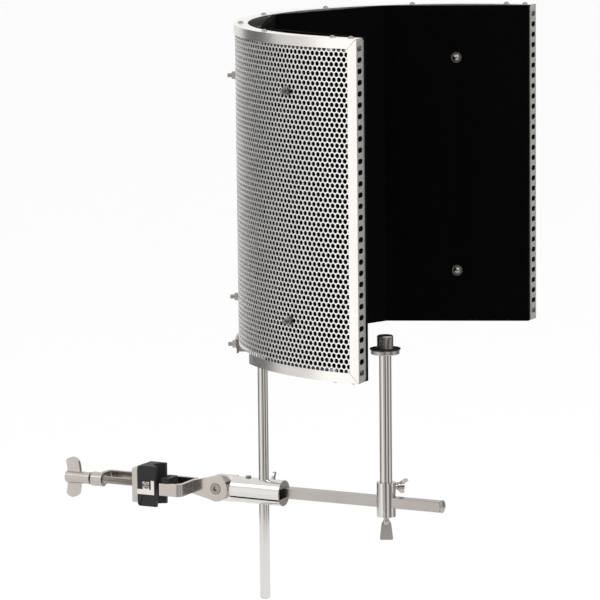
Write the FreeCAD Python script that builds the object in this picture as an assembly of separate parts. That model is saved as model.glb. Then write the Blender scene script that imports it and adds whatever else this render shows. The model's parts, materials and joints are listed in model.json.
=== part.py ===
"""Curved microphone reflection filter on its stand clamp, one STEP file per piece.

Millimetres. +Z is up, +X runs along the bar from the clamp towards the singer, and +Y is the
far side. The origin lies on the axis of the stand tube, at the middle height of the clamp.
The shell is worked out in its own frame (arc centre, underside) and then set in place.
An angle phi on the shell is 0 at the back and grows towards the far wing.
"""
import FreeCAD, Part
import math
import os

Vector = FreeCAD.Vector
X_AXIS = Vector(1, 0, 0)
Y_AXIS = Vector(0, 1, 0)
Z_AXIS = Vector(0, 0, 1)

# --- clearances ---
RUNNING = 0.05            # radial, shaft in a hole that turns or slides
SLIDING = 0.1             # square bar in the slider, each side
APART = 0.3               # between faces of pieces that move past each other
CUT = 1.0                 # how far a cutter reaches past the face it cuts

# --- shell ---
SHELL_RADIUS = 200.0      # outer face of the rim
SHELL_HEIGHT = 308.0
RIM_DEPTH = 13.0          # radial width of the rim channel
RIM_FLANGE = 9.0          # height of the channel's legs
RIM_METAL = 1.0
SHEET_METAL = 1.0
OUTER_WOOL = 8.0
FOIL = 0.4
HALF_ANGLE = 90.0
REAR_GAP_ANGLE = 46.0     # the bottom rim stops here, to leave room for the bracket
REAR_EDGE = 9.0           # height of the sheet's free edge in that gap
WOOL_EDGE = 12.0          # height at which the inner layers start
FACETS = 4
PANEL_WOOL = 4.5
BOARD_METAL = 1.5
BOARD_EDGE = 2.0          # the board stops this far short of the wool

# --- vented end strips ---
END_HOLE_PITCH = 10.0
END_HOLE_MARGIN = 9.0     # least distance from the first vent to the shell's edge
END_SLOT_HEIGHT = 4.8
END_SLOT_WIDTH = 8.8
MITRE_GAP = 0.5           # open joint between a rim and an end strip

# --- fasteners of the shell ---
BOLT_RADIUS = 2.0
BOLT_ROW_INSET = 50.0     # rows of through bolts, from the top and the bottom
BOLT_TIP = 4.0            # thread left standing outside the nut
NUT_FLATS = 7.0
NUT_HEIGHT = 3.2
WASHER_RADIUS = 4.5
WASHER_HEIGHT = 0.8
PANEL_WASHER_RADIUS = 5.2
BOLT_HEAD_RADIUS = 3.6
BOLT_HEAD_HEIGHT = 2.4
TUBE_WALL = 1.5
SCREW_STEP = 27.3         # angle between the rim screws
END_SCREW_ANGLE = 87.5    # one more screw close to each end
RIM_SCREW_RADIUS = 1.5
RIM_SCREW_HEAD_RADIUS = 2.9
RIM_SCREW_HEAD = 2.0
RIM_SCREW_LENGTH = 7.0
EDGE_BLOCK_LENGTH = 8.0
BLOCK_DEPTH = 11.0        # the blocks reach this far in from the shell's edge
BLOCK_END_ANGLE = 1.0     # and stop this far short of the wings' ends
BLOCK_BRIDGE = 0.5        # blocks closer than this angle are one

# --- rear bracket and rod ---
BRACKET_METAL = 2.0
BRACKET_HEIGHT = 13.0
BRACKET_DROP = 0.5        # the band hangs this far below the shell
BRACKET_ANGLE = 28.0
BRACKET_BOLT_ANGLE = 25.0
BRACKET_BOLT_HEIGHT = 6.5
BRACKET_LIP = 1.4
BRACKET_FLARE = 1.5
COLLAR_RADIUS = 7.5
COLLAR_BOTTOM = -6.0
COLLAR_TOP = 8.0
COLLAR_CROWN = 2.0        # metal left above the blind bore
SET_SCREW_SOCKET = 1.0
SET_SCREW_RADIUS = 1.5
SET_SCREW_Z = -2.5
SET_SCREW_SUNK = 0.2
ROD_RADIUS = 5.0
ROD_BACK_OFFSET = 1.0     # the rod's axis lies this far inside the rim's outer radius
ROD_LENGTH = 263.0
ROD_CHAMFER = 1.2

# --- places along the bar ---
ROD_X = 105.0
LINE_Y = 12.0             # plane of the rod, the coupling and the shell's middle
SHELL_Z = 152.0           # underside of the shell above the bar's axis

# --- coupling, bar and slider ---
COUPLING_RADIUS = 12.5
COUPLING_LENGTH = 43.0
BAR_SIZE = 10.0
BAR_OFFSET = 4.5          # the bar sits this far to the far side in the coupling
BAR_END = 291.0
POCKET_DEPTH = 12.5
POCKET_NEAR = 9.9         # near wall of the pocket, from the coupling's axis
STOP_RADIUS = 6.3
STOP_HEIGHT = 3.0
STOP_COLLAR = 1.0
SLIDER_X = 233.0
SLIDER_RADIUS = 9.25
SLIDER_TOP = 19.0
SLIDER_BOTTOM = -14.0
SOCKET_DEPTH = 12.2

# --- lock screws and grub screws ---
LOCK_RADIUS = 2.5
POST_LOCK_DROP = 5.0      # below the slider's top
GRUB_RADIUS = 2.0
GRUB_LENGTH = 5.5
GRUB_FLATS = 2.5
GRUB_SOCKET = 1.5
CAP_OVERHANG = 0.8        # of the knuckle screw's head
CAP_HEIGHT = 1.6
SIDE_WING = {"shaft": LOCK_RADIUS, "reach": 5.0, "barrel": 4.0, "barrel_length": 6.0, "wing_start": 1.5,
             "wing_length": 4.5, "wing_reach": 8.5, "metal": 2.4, "lean": 3.0}
ROD_WING = dict(SIDE_WING, reach=10.0, wing_reach=14.0)
PADDLE_REACH = 12.5       # from the screw's tip to the paddle's shoulder
PADDLE_NECK_RADIUS = 3.2
PADDLE_NECK = 4.0
PADDLE_LENGTH = 19.0
PADDLE_TOP_WIDTH = 9.0
PADDLE_END_WIDTH = 13.0
PADDLE_METAL = 4.5
PADDLE_ROUND = 1.5
POST_LOCK_TURN = 40       # how the wings stand
BAR_LOCK_TURN = -27
WING_ROOT = 0.6           # where a wing starts, as a share of the barrel's radius
WING_CROWN = 0.28         # rise of a wing's rounded tip, as a share of its length
WING_BOW = 0.15           # bow of a wing's edges, as a share of its lean

# --- microphone post ---
POST_RADIUS = 6.0
FLANGE_Z = 142.4
FLANGE_RADIUS = 13.8
FLANGE_HEIGHT = 4.6
FLANGE_CHAMFER = 0.5
PAD_RADIUS = 14.7
PAD_HEIGHT = 0.8
THREAD_RADIUS = 7.94      # 5/8 inch microphone thread
THREAD_LENGTH = 12.4
THREAD_BORE = 4.0
THREAD_CHAMFER = 1.1
THREAD_FLOOR = 3.0        # solid part below the stud's bore
RELIEF_RADIUS = 6.9       # undercut between the pad and the thread
RELIEF_ABOVE_PAD = 1.0

# --- tilt joint ---
HINGE_X = 56.5
LUG_RADIUS = 12.5
LUG_METAL = 6.0
TONGUE_METAL = 8.0
HINGE_BOLT_RADIUS = 3.0
HINGE_HEAD_RADIUS = 5.0
HINGE_HEAD_HEIGHT = 3.0
HINGE_RECESS_GAP = 0.4    # round the head
HINGE_BOLT_TIP = 1.5
HINGE_WASHER_RADIUS = 6.2
HINGE_WASHER_HEIGHT = 1.6
HINGE_NUT_FLATS = 10.0
HINGE_NUT_HEIGHT = 5.5
HEX_FLATS = 5.0
HEX_DEPTH = 2.0
SPIGOT_RADIUS = 6.0
SPIGOT_LENGTH = 9.5
KNUCKLE_ROOT = 10.0

# --- clamp ---
TUBE_RADIUS = 8.0         # stand tube that the clamp holds
FRAME_BACK = -70.8        # outer faces of the bent strap
FRAME_FRONT = 31.4
FRAME_HALF_WIDTH = 21.0
STRAP_METAL = 4.0
STRAP_HEIGHT = 12.0
STRAP_BEND = 6.0
HOOK_TIP = 7.7            # the near leg reaches back to here
BOSS_RADIUS = 7.0
BOSS_BACK = -76.8
BOSS_LENGTH = 12.0
SCREW_RADIUS = 3.75
JOURNAL_RADIUS = 3.0
PLATE_BACK = -27.0
PLATE_METAL = 6.0
PLATE_HALF_HEIGHT = 17.0
PLATE_NEAR = 12.0
PAD_FRONT = -0.6
PAD_HALF_HEIGHT = 20.0
PAD_SIDE = 4.0            # rubber on each side of the tube
PAD_CORNER = 1.5
PAD_ARCH = 2.8            # rounding of the pad's upper and lower back edges
ANVIL_FRONT = 3.2         # the fixed cup starts here, right of the tube's axis
ANVIL_FLOOR = 5.0         # rubber behind the tube
ANVIL_SIDE = 0.5          # half width beyond the tube's radius
ANVIL_SOCKET = 3.0        # the stud goes this far into the cup
ANVIL_HALF_HEIGHT = 9.0
ANVIL_STUD_RADIUS = 3.0
CLIP_METAL = 1.2
CLIP_BOTTOM = -8.0
CLIP_FOOT_TOP = -3.0
CLIP_EAR_BOTTOM = -5.0
CLIP_POST_TOP = 6.0
CLIP_POST_WIDTH = 3.6
CLIP_INSET = 1.4          # from the pad's front
CLIP_EAR = 3.5            # round the screw
PAD_SCREW_X = -11.0
PAD_SCREW_Z = 1.0
PAD_SCREW_RADIUS = 1.5
PAD_SCREW_LENGTH = 7.0
PAD_SCREW_HEAD_RADIUS = 3.4
PAD_SCREW_HEAD = 2.2
RECESS_RADIUS = 5.2       # in the plate, for the circlip
RECESS_DEPTH = 2.0
CIRCLIP_RADIUS = 4.6
CIRCLIP_METAL = 0.7
CIRCLIP_INSET = 1.7       # from the plate's front
GROOVE_DEPTH = 0.6
JOURNAL_BACK = 0.2        # the journal ends this far behind the plate's front
KNOB_BARREL_RADIUS = 6.0
KNOB_GAP = 2.5            # between the knob and the boss at rest
KNOB_LENGTH = 26.7
KNOB_SOCKET = 6.0
KNOB_WING_LENGTH = 14.0
KNOB_WING_REACH = 16.0
KNOB_WING_METAL = 3.8
KNOB_WING_LEAN = -1.5
KNOB_WING_FRONT = 15.0    # from the knob's back end to the wings' front edge

# --- worked out from the values above ---
SHELL_X = ROD_X + SHELL_RADIUS - ROD_BACK_OFFSET
SHELL_PLACE = Vector(SHELL_X, LINE_Y, SHELL_Z)
REACH = SHELL_RADIUS + 50  # half width of a cutter that passes right across the shell
RIM_INNER = SHELL_RADIUS - RIM_DEPTH
SHEET_OUTER = SHELL_RADIUS - RIM_METAL
SHEET_INNER = SHEET_OUTER - SHEET_METAL
WOOL_INNER = SHEET_INNER - OUTER_WOOL
LINER_INNER = RIM_INNER + RIM_METAL
LINER_OUTER = LINER_INNER + SHEET_METAL
FACET_ANGLE = 2 * HALF_ANGLE / FACETS
FACET_COS = math.cos(math.radians(FACET_ANGLE / 2))
BOARD_OUTER = (RIM_INNER - APART) * FACET_COS
BOARD_INNER = BOARD_OUTER - BOARD_METAL
PANEL_INNER = BOARD_INNER - PANEL_WOOL
FACET_MIDDLES = [-HALF_ANGLE + FACET_ANGLE * (i + 0.5) for i in range(FACETS)]
END_HOLES = int((SHELL_HEIGHT - 2 * END_HOLE_MARGIN) / END_HOLE_PITCH) + 1
BOLT_HEIGHTS = (BOLT_ROW_INSET, SHELL_HEIGHT - BOLT_ROW_INSET)
SCREW_CIRCLE = (SHELL_RADIUS + RIM_INNER) / 2
TOP_SCREW_ANGLES = [-END_SCREW_ANGLE] + [SCREW_STEP * i for i in range(-3, 4)] + [END_SCREW_ANGLE]
BOTTOM_SCREW_ANGLES = [angle for angle in TOP_SCREW_ANGLES if abs(angle) > REAR_GAP_ANGLE]
COUPLING_BACK = ROD_X - COUPLING_LENGTH / 2
COUPLING_FRONT = ROD_X + COUPLING_LENGTH / 2
BAR_Y = LINE_Y + BAR_OFFSET
BAR_START = COUPLING_FRONT - POCKET_DEPTH
TONGUE_NEAR = LINE_Y - 2.0
LUG_NEAR = TONGUE_NEAR - APART - LUG_METAL
TONGUE_FAR = TONGUE_NEAR + TONGUE_METAL
PLATE_FRONT = PLATE_BACK + PLATE_METAL
KNOB_FRONT = BOSS_BACK - KNOB_GAP
FRAME_INNER_FRONT = FRAME_FRONT - STRAP_METAL
FRAME_INNER_WIDTH = FRAME_HALF_WIDTH - STRAP_METAL
PAD_HALF_WIDTH = TUBE_RADIUS + PAD_SIDE
ANVIL_BACK = TUBE_RADIUS + ANVIL_FLOOR
ANVIL_HALF_WIDTH = TUBE_RADIUS + ANVIL_SIDE
CIRCLIP_X = PLATE_FRONT - CIRCLIP_INSET
ROD_AXIS_RADIUS = SHELL_RADIUS - ROD_BACK_OFFSET
HINGE_NUT_Y = TONGUE_FAR + APART + HINGE_WASHER_HEIGHT
LOCK_DIRECTION = Vector(1, 1, 0).normalize()


# ------------------------------------------------------------------ helpers
def box(low, high):
    """Block between two corners."""
    return Part.makeBox(high[0] - low[0], high[1] - low[1], high[2] - low[2], Vector(*low))


def rod(start, direction, radius, length):
    """Round bar from a point along a direction."""
    return Part.makeCylinder(radius, length, Vector(*start), direction)


def ring(start, direction, outer, inner, length):
    """Tube from a point along a direction."""
    hole_start = Vector(*start) - direction * CUT
    hole = Part.makeCylinder(inner, length + 2 * CUT, hole_start, direction)
    return rod(start, direction, outer, length).cut(hole)


def hexagon(start, direction, flats, length):
    """Hexagonal prism along Z, turned to a direction."""
    corner = flats / 2 / math.cos(math.radians(30))
    points = [Vector(corner * math.cos(math.radians(60 * i)), corner * math.sin(math.radians(60 * i)), 0)
              for i in range(6)]
    face = Part.Face(Part.makePolygon(points + points[:1]))
    prism = face.extrude(Vector(0, 0, length))
    prism.Placement = FreeCAD.Placement(Vector(*start), FreeCAD.Rotation(Z_AXIS, direction))
    return prism


def plate(points, axis, low, high):
    """Prism from an outline in the plane square to the axis, between two places on it."""
    if axis == "y":
        corners = [Vector(a, low, b) for a, b in points]
        travel = Vector(0, high - low, 0)
    else:
        corners = [Vector(a, b, low) for a, b in points]
        travel = Vector(0, 0, high - low)
    return Part.Face(Part.makePolygon(corners + corners[:1])).extrude(travel)


def fused(shapes):
    """One solid from several that overlap or share a face."""
    result = shapes[0].multiFuse(shapes[1:]) if len(shapes) > 1 else shapes[0]
    return result.removeSplitter()


def rounded(solid, radius, keep):
    """Fillet the edges that the test keeps."""
    edges = [edge for edge in solid.Edges if keep(edge)]
    return solid.makeFillet(radius, edges) if edges else solid


def along_z(edge):
    """True for a straight edge that stands along Z."""
    if edge.Curve.TypeId != "Part::GeomLine":
        return False
    return abs(abs(edge.tangentAt(edge.FirstParameter).z) - 1) < 1e-6


def along_x(edge):
    """True for a straight edge that lies along X."""
    if edge.Curve.TypeId != "Part::GeomLine":
        return False
    return abs(abs(edge.tangentAt(edge.FirstParameter).x) - 1) < 1e-6


def along_y(edge):
    """True for a straight edge that lies along Y."""
    if edge.Curve.TypeId != "Part::GeomLine":
        return False
    return abs(abs(edge.tangentAt(edge.FirstParameter).y) - 1) < 1e-6


def dome_head(start, direction, radius, height):
    """Low dome on a flat base, for a screw's head."""
    sphere_radius = (radius ** 2 + height ** 2) / (2 * height)
    half = math.asin(radius / sphere_radius) / 2
    middle = Vector(sphere_radius * math.sin(half), 0, height - sphere_radius * (1 - math.cos(half)))
    rim, top = Vector(radius, 0, 0), Vector(0, 0, height)
    edges = [Part.LineSegment(Vector(), rim), Part.Arc(rim, middle, top), Part.LineSegment(top, Vector())]
    head = Part.Face(Part.Wire([edge.toShape() for edge in edges])).revolve(Vector(), Z_AXIS, 360)
    head.Placement = FreeCAD.Placement(Vector(*start), FreeCAD.Rotation(Z_AXIS, direction))
    return head


def radial(phi, radius, height):
    """Point on the shell at an angle, a radius and a height."""
    angle = math.radians(phi)
    return Vector(-radius * math.cos(angle), radius * math.sin(angle), height)


def outward(phi):
    """Unit vector away from the arc's centre."""
    return radial(phi, 1.0, 0.0)


def swept(profile, start, end):
    """Solid from (radius, height) points, turned about the arc's axis between two angles."""
    face = Part.Face(Part.makePolygon([Vector(r, 0, z) for r, z in profile + profile[:1]]))
    face.rotate(Vector(), Z_AXIS, 180 - end)
    return face.revolve(Vector(), Z_AXIS, end - start)


def wall(inner, outer, low, high, start=-HALF_ANGLE, end=HALF_ANGLE):
    """Curved wall of the shell."""
    return swept([(inner, low), (outer, low), (outer, high), (inner, high)], start, end)


def on_shell(shape):
    """Move a shape from the shell's own frame to its place."""
    shape = shape.copy()
    shape.translate(SHELL_PLACE)
    return shape


def group(shapes):
    """Several separate solids in one piece's file."""
    return Part.makeCompound(shapes)


# ------------------------------------------------------------------ shell: sheets and layers
def bolt_bores(radius):
    """Cutters for the through bolts of the shell."""
    start = PANEL_INNER - CUT
    length = SHELL_RADIUS + CUT - start
    return [rod(radial(phi, start, height), outward(phi), radius, length)
            for phi in FACET_MIDDLES for height in BOLT_HEIGHTS]


def bracket_bores(radius):
    """Cutters for the two bolts of the rear bracket."""
    start = LINER_INNER - CUT
    length = SHELL_RADIUS + BRACKET_METAL + CUT - start
    angles = [side * BRACKET_BOLT_ANGLE for side in (-1, 1)]
    return [rod(radial(phi, start, BRACKET_BOLT_HEIGHT), outward(phi), radius, length) for phi in angles]


def outer_sheet():
    """Perforated outer sheet; its holes are too many for this solid."""
    sheet = wall(SHEET_INNER, SHEET_OUTER, RIM_METAL, SHELL_HEIGHT - RIM_METAL)
    gap = wall(SHEET_INNER - CUT, SHEET_OUTER + CUT, 0, REAR_EDGE, -REAR_GAP_ANGLE, REAR_GAP_ANGLE)
    ends = box((-RIM_METAL, -REACH, -CUT), (CUT, REACH, SHELL_HEIGHT + CUT))
    return sheet.cut(group([gap, ends] + bolt_bores(BOLT_RADIUS)))


def inner_layer(inner, outer, end_gap=RIM_METAL):
    """Layer behind the sheet, kept clear of the rims' blocks; it stops short of the shell's ends."""
    layer = wall(inner, outer, WOOL_EDGE, SHELL_HEIGHT - WOOL_EDGE)
    ends = box((-end_gap, -REACH, -CUT), (CUT, REACH, SHELL_HEIGHT + CUT))
    return layer.cut(group([ends] + bolt_bores(BOLT_RADIUS)))


def outer_wool():
    return inner_layer(WOOL_INNER, SHEET_INNER)


def foil_layer():
    return inner_layer(LINER_OUTER, LINER_OUTER + FOIL, RIM_FLANGE + APART)


def inner_sheet():
    return inner_layer(LINER_INNER, LINER_OUTER, RIM_FLANGE + APART)


def facet_prism(inner, outer, start, end, low, high):
    """Flat-sided ring of facets between two distances from the arc's axis."""
    count = round((end - start) / FACET_ANGLE)
    angles = [start + FACET_ANGLE * i for i in range(count + 1)]
    outside = [radial(a, outer / FACET_COS, 0) for a in angles]
    inside = [radial(a, inner / FACET_COS, 0) for a in reversed(angles)]
    outline = [(p.x, p.y) for p in outside + inside]
    return plate(outline, "z", low, high)


def facet_board():
    """Folded sheet that carries the four inner panels."""
    low, high = BOARD_EDGE, SHELL_HEIGHT - BOARD_EDGE
    board = facet_prism(BOARD_INNER, BOARD_OUTER, -HALF_ANGLE, HALF_ANGLE, low, high)
    return board.cut(group(bolt_bores(BOLT_RADIUS)))


def wool_panel(index):
    """One flat wool panel, mitred against its neighbours."""
    start = -HALF_ANGLE + FACET_ANGLE * index
    panel = facet_prism(PANEL_INNER, BOARD_INNER, start, start + FACET_ANGLE, 0, SHELL_HEIGHT)
    return panel.cut(group(bolt_bores(BOLT_RADIUS)))


# ------------------------------------------------------------------ shell: rims and ends
def channel_profile(low, high, flange_up):
    """U-shaped section of a rim, open upwards or downwards."""
    outer, inner, metal = SHELL_RADIUS, RIM_INNER, RIM_METAL
    if flange_up:
        web, leg = low, high
        inside = web + metal
    else:
        web, leg = high, low
        inside = web - metal
    return [(inner, web), (outer, web), (outer, leg), (outer - metal, leg), (outer - metal, inside),
            (inner + metal, inside), (inner + metal, leg), (inner, leg)]


def mitre(top, keep_rim):
    """Wedge at the ends that separates a rim from the end strips along a 45 degree line."""
    reach = RIM_FLANGE + CUT
    beyond = RIM_FLANGE
    edge = SHELL_HEIGHT if top else 0.0
    inward = -1 if top else 1
    if keep_rim:
        points = [(-MITRE_GAP, edge), (-reach - MITRE_GAP, edge + inward * reach),
                  (beyond, edge + inward * reach), (beyond, edge - inward * beyond),
                  (-MITRE_GAP, edge - inward * beyond)]
    else:
        points = [(0.0, edge), (-reach, edge + inward * reach), (-reach, edge - inward * beyond),
                  (beyond, edge - inward * beyond), (beyond, edge)]
    return plate(points, "y", -REACH, REACH)


def screw_bores(angles, top):
    """Cutters for the rim screws."""
    height = SHELL_HEIGHT + CUT if top else -CUT
    inward = -Z_AXIS if top else Z_AXIS
    depth = WOOL_EDGE + CUT
    return [rod(radial(a, SCREW_CIRCLE, height), inward, RIM_SCREW_RADIUS, depth) for a in angles]


def top_rim():
    profile = channel_profile(SHELL_HEIGHT - RIM_FLANGE, SHELL_HEIGHT, False)
    rim = swept(profile, -HALF_ANGLE, HALF_ANGLE)
    return rim.cut(group([mitre(True, True)] + screw_bores(TOP_SCREW_ANGLES, True)))


def bottom_rim(side):
    start, end = (REAR_GAP_ANGLE, HALF_ANGLE) if side > 0 else (-HALF_ANGLE, -REAR_GAP_ANGLE)
    rim = swept(channel_profile(0.0, RIM_FLANGE, True), start, end)
    return rim.cut(group([mitre(False, True)] + screw_bores(BOTTOM_SCREW_ANGLES, False)))


def end_slot(y, z):
    """Cutter for one vent: a round-ended slot across the strip."""
    half = (END_SLOT_WIDTH - END_SLOT_HEIGHT) / 2
    radius = END_SLOT_HEIGHT / 2
    start = -RIM_METAL - CUT
    length = RIM_METAL + 2 * CUT
    ends = [rod((start, y + offset, z), X_AXIS, radius, length) for offset in (-half, half)]
    middle = box((start, y - half, z - radius), (start + length, y + half, z + radius))
    return fused(ends + [middle])


def end_strip(side):
    """Upright channel that closes a wing's end, with its column of vent holes."""
    outer, inner = SHELL_RADIUS, RIM_INNER
    low, high = sorted((side * outer, side * inner))
    strip = box((-RIM_FLANGE, low, 0), (0, high, SHELL_HEIGHT))
    hollow_low, hollow_high = low + RIM_METAL, high - RIM_METAL
    hollow = box((-RIM_FLANGE - CUT, hollow_low, -CUT), (-RIM_METAL, hollow_high, SHELL_HEIGHT + CUT))
    # the outer leg follows the rim's curve
    curve = wall(RIM_INNER - RIM_DEPTH, SHELL_RADIUS, -CUT, SHELL_HEIGHT + CUT)
    first = (SHELL_HEIGHT - END_HOLE_PITCH * (END_HOLES - 1)) / 2
    middle = side * (outer + inner) / 2
    slots = [end_slot(middle, first + END_HOLE_PITCH * i) for i in range(END_HOLES)]
    strip = strip.common(curve).cut(hollow)
    return strip.cut(group([mitre(True, False), mitre(False, False)] + slots))


def edge_blocks():
    """Blocks in the rims that the rim screws bite into, and the two behind the bracket."""
    blocks = []
    half = math.degrees(EDGE_BLOCK_LENGTH / 2 / SCREW_CIRCLE)
    inner, outer = LINER_OUTER, SHEET_INNER
    top_low, top_high = SHELL_HEIGHT - BLOCK_DEPTH, SHELL_HEIGHT - RIM_METAL
    for angles, low, high, top in ((TOP_SCREW_ANGLES, top_low, top_high, True),
                                   (BOTTOM_SCREW_ANGLES, RIM_METAL, BLOCK_DEPTH, False)):
        spans = []
        for angle in sorted(angles):
            start = max(angle - half, -HALF_ANGLE + BLOCK_END_ANGLE)
            end = min(angle + half, HALF_ANGLE - BLOCK_END_ANGLE)
            if spans and start < spans[-1][1] + BLOCK_BRIDGE:
                spans[-1][1] = end
            else:
                spans.append([start, end])
        bores = group(screw_bores(angles, top))
        blocks += [wall(inner, outer, low, high, start, end).cut(bores) for start, end in spans]
    bores = group(bracket_bores(BOLT_RADIUS))
    for side in (-1, 1):
        middle = side * BRACKET_BOLT_ANGLE
        start, end = middle - 2 * half, middle + 2 * half
        foot = wall(LINER_INNER, SHEET_OUTER, RIM_METAL / 2, REAR_EDGE, start, end)
        head = wall(LINER_INNER, SHEET_INNER, REAR_EDGE, WOOL_EDGE - APART, start, end)
        blocks.append(fused([foot, head]).cut(bores))
    return group(blocks)


def rim_screw(angle, top):
    """Dome-headed screw through a rim."""
    down = -Z_AXIS if top else Z_AXIS
    seat = radial(angle, SCREW_CIRCLE, SHELL_HEIGHT if top else 0.0)
    head = dome_head(seat, -down, RIM_SCREW_HEAD_RADIUS, RIM_SCREW_HEAD)
    return fused([head, rod(seat, down, RIM_SCREW_RADIUS, RIM_SCREW_LENGTH)])


def rim_screws_top():
    return group([rim_screw(angle, True) for angle in TOP_SCREW_ANGLES])


def rim_screws_bottom():
    return group([rim_screw(angle, False) for angle in BOTTOM_SCREW_ANGLES])


# ------------------------------------------------------------------ shell: through bolts
def each_bolt(make):
    """The same piece at each of the shell's through bolts."""
    return group([make(phi, height) for phi in FACET_MIDDLES for height in BOLT_HEIGHTS])


def spacer_bolt(phi, height):
    tip = SHEET_OUTER + WASHER_HEIGHT + NUT_HEIGHT + BOLT_TIP
    under_head = PANEL_INNER - WASHER_HEIGHT
    shank = rod(radial(phi, under_head, height), outward(phi), BOLT_RADIUS, tip - under_head)
    head = dome_head(radial(phi, under_head, height), -outward(phi), BOLT_HEAD_RADIUS, BOLT_HEAD_HEIGHT)
    return fused([shank, head])


def spacer_nut(phi, height):
    start = radial(phi, SHEET_OUTER + WASHER_HEIGHT, height)
    nut = hexagon(start, outward(phi), NUT_FLATS, NUT_HEIGHT)
    return nut.cut(rod(start - outward(phi) * CUT, outward(phi), BOLT_RADIUS, NUT_HEIGHT + 2 * CUT))


def outer_washer(phi, height):
    return ring(radial(phi, SHEET_OUTER, height), outward(phi), WASHER_RADIUS, BOLT_RADIUS, WASHER_HEIGHT)


def panel_washer(phi, height):
    start = radial(phi, PANEL_INNER - WASHER_HEIGHT, height)
    return ring(start, outward(phi), PANEL_WASHER_RADIUS, BOLT_RADIUS, WASHER_HEIGHT)


def spacer_tube(phi, height):
    """Tube that holds the board off the inner sheet; its far end follows the sheet's curve."""
    length = LINER_INNER + CUT - BOARD_OUTER
    tube = ring(radial(phi, BOARD_OUTER, height), outward(phi), BOLT_RADIUS + TUBE_WALL, BOLT_RADIUS, length)
    return tube.common(wall(BOARD_OUTER - CUT, LINER_INNER, 0, SHELL_HEIGHT))


# ------------------------------------------------------------------ bracket and rod
def rear_bracket():
    """Curved band behind the shell's lower edge, welded to the collar that takes the rod."""
    inner, outer = SHEET_OUTER, SHEET_OUTER + BRACKET_METAL
    low, high = -BRACKET_DROP, BRACKET_HEIGHT - BRACKET_DROP
    band = swept([(inner, low), (outer, low), (outer, high - BRACKET_LIP), (outer + BRACKET_FLARE, high),
                  (inner + BRACKET_FLARE, high), (inner, high - BRACKET_LIP)], -BRACKET_ANGLE, BRACKET_ANGLE)
    axis_radius = ROD_AXIS_RADIUS
    collar = rod((-axis_radius, 0, COLLAR_BOTTOM), Z_AXIS, COLLAR_RADIUS, COLLAR_TOP - COLLAR_BOTTOM)
    depth = COLLAR_TOP - COLLAR_CROWN - COLLAR_BOTTOM
    bore = rod((-axis_radius, 0, COLLAR_BOTTOM - CUT), Z_AXIS, ROD_RADIUS + RUNNING, depth + CUT)
    bracket = fused([band, collar]).cut(bore)
    screw_start = (-axis_radius - COLLAR_RADIUS - CUT, 0, SET_SCREW_Z)
    set_screw_bore = rod(screw_start, X_AXIS, SET_SCREW_RADIUS, COLLAR_RADIUS)
    return bracket.cut(group([set_screw_bore] + bracket_bores(BOLT_RADIUS)))


def rod_set_screw():
    outer_end = -ROD_AXIS_RADIUS - COLLAR_RADIUS + SET_SCREW_SUNK
    length = COLLAR_RADIUS - ROD_RADIUS - SET_SCREW_SUNK - RUNNING
    screw = rod((outer_end, 0, SET_SCREW_Z), X_AXIS, SET_SCREW_RADIUS, length)
    socket_start = (outer_end - CUT, 0, SET_SCREW_Z)
    return screw.cut(hexagon(socket_start, X_AXIS, SET_SCREW_RADIUS, SET_SCREW_SOCKET + CUT))


def bracket_bolt(side):
    phi = side * BRACKET_BOLT_ANGLE
    seat = SHEET_OUTER + BRACKET_METAL
    tip = seat + WASHER_HEIGHT + NUT_HEIGHT + BOLT_TIP
    # the flat head rests on the hollow face of its block with its edge
    under_head = math.sqrt(LINER_INNER ** 2 - BOLT_HEAD_RADIUS ** 2)
    start = radial(phi, under_head, BRACKET_BOLT_HEIGHT)
    shank = rod(start, outward(phi), BOLT_RADIUS, tip - under_head)
    return fused([shank, dome_head(start, -outward(phi), BOLT_HEAD_RADIUS, BOLT_HEAD_HEIGHT)])


def bracket_nut(side):
    phi = side * BRACKET_BOLT_ANGLE
    seat = SHEET_OUTER + BRACKET_METAL
    start = radial(phi, seat, BRACKET_BOLT_HEIGHT)
    nut = hexagon(start + outward(phi) * WASHER_HEIGHT, outward(phi), NUT_FLATS, NUT_HEIGHT)
    nut = nut.cut(rod(start, outward(phi), BOLT_RADIUS, WASHER_HEIGHT + NUT_HEIGHT + CUT))
    return fused([nut, ring(start, outward(phi), WASHER_RADIUS, BOLT_RADIUS, WASHER_HEIGHT)])


def filter_rod():
    """Long round rod that hangs the shell from the coupling."""
    top = SHELL_Z + COLLAR_TOP - COLLAR_CROWN - APART
    shaft = rod((ROD_X, LINE_Y, top - ROD_LENGTH), Z_AXIS, ROD_RADIUS, ROD_LENGTH)
    return rounded_end(shaft, top - ROD_LENGTH, ROD_CHAMFER)


def rounded_end(shaft, height, chamfer):
    """Chamfer the circular edge of a shaft that lies at a height."""
    edges = [edge for edge in shaft.Edges
             if edge.Curve.TypeId == "Part::GeomCircle" and abs(edge.CenterOfMass.z - height) < 1e-3]
    return shaft.makeChamfer(chamfer, edges)


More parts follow.
